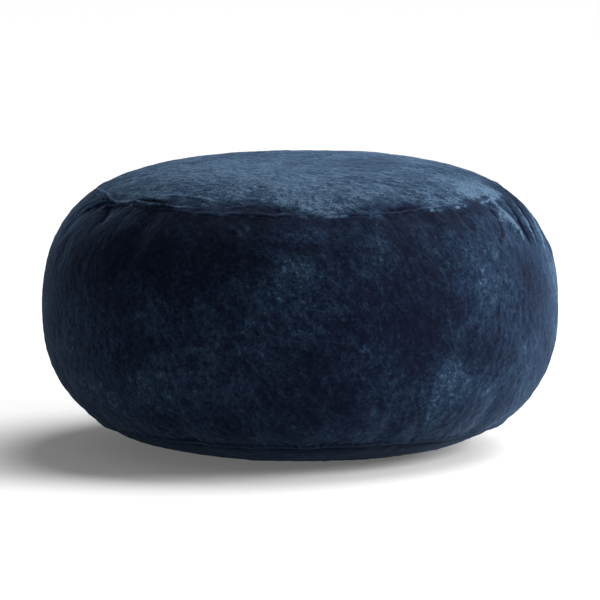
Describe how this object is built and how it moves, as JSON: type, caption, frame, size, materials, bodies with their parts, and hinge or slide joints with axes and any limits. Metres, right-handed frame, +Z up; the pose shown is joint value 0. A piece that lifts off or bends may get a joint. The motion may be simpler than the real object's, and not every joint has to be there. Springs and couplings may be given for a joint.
{
  "type": "floor cushion",
  "caption": "Round stuffed floor cushion: plush cover with top, side and base panels, zipped at the back over a zipped liner bag of foam.",
  "frame": {"origin": "on the floor under the middle of the cushion", "axes": "+Z up through the crown, -Y towards the front, +X to the right of someone who faces the front"},
  "size_m": [0.9, 0.9, 0.5],
  "materials": {
    "plush": "short plush pile, navy",
    "thread": "spun polyester thread",
    "label": "blank satin ribbon",
    "zip_tape": "woven tape, navy",
    "zip_coil": "nylon coil, navy",
    "zip_metal": "nickel-plated die casting",
    "liner_cloth": "spun-bonded cloth",
    "liner_thread": "overlocked edge",
    "liner_zip_tape": "woven tape, white",
    "liner_zip_coil": "nylon coil, white",
    "foam": "shredded open-cell foam"
  },
  "bodies": {
    "cushion": {"cover_top_panel": "plush", "cover_side_panel_left": "plush", "cover_side_panel_right": "plush", "cover_base_panel": "plush", "cover_top_seam_thread": "thread", "cover_base_seam_thread": "thread", "cover_side_seam_threads": "thread", "care_label": "label", "zip_tape_side": "zip_tape", "zip_tape_base": "zip_tape", "zip_coil_side": "zip_coil", "zip_coil_base": "zip_coil", "zip_top_stops": "zip_metal", "zip_bottom_stop": "zip_metal", "liner_top_panel": "liner_cloth", "liner_side_panel": "liner_cloth", "liner_base_panel": "liner_cloth", "liner_seam_stitching": "liner_thread", "liner_zip_tape_front": "liner_zip_tape", "liner_zip_tape_back": "liner_zip_tape", "liner_zip_coil_front": "liner_zip_coil", "liner_zip_coil_back": "liner_zip_coil", "liner_zip_stops": "zip_metal", "foam_fill": "foam"},
    "zip_slider": {"zip_slider": "zip_metal"},
    "zip_pull_tab": {"zip_pull_tab": "zip_metal"},
    "liner_zip_slider": {"liner_zip_slider": "zip_metal"}
  },
  "joints": [
    {"name": "zip_travel", "type": "hinge", "parent": "cushion", "child": "zip_slider", "pos_m": [0, 0, 0], "axis": [0, 0, 1], "range_deg": [0, 122.5]},
    {"name": "zip_pull_swing", "type": "hinge", "parent": "zip_slider", "child": "zip_pull_tab", "pos_m": [0.33893, 0.11196, 0.04926], "axis": [-0.7987, -0.2626, -0.5415], "range_deg": [0, 160]},
    {"name": "liner_zip_travel", "type": "slide", "parent": "cushion", "child": "liner_zip_slider", "axis": [-1, 0, 0], "range_m": [0, 0.349]}
  ]
}
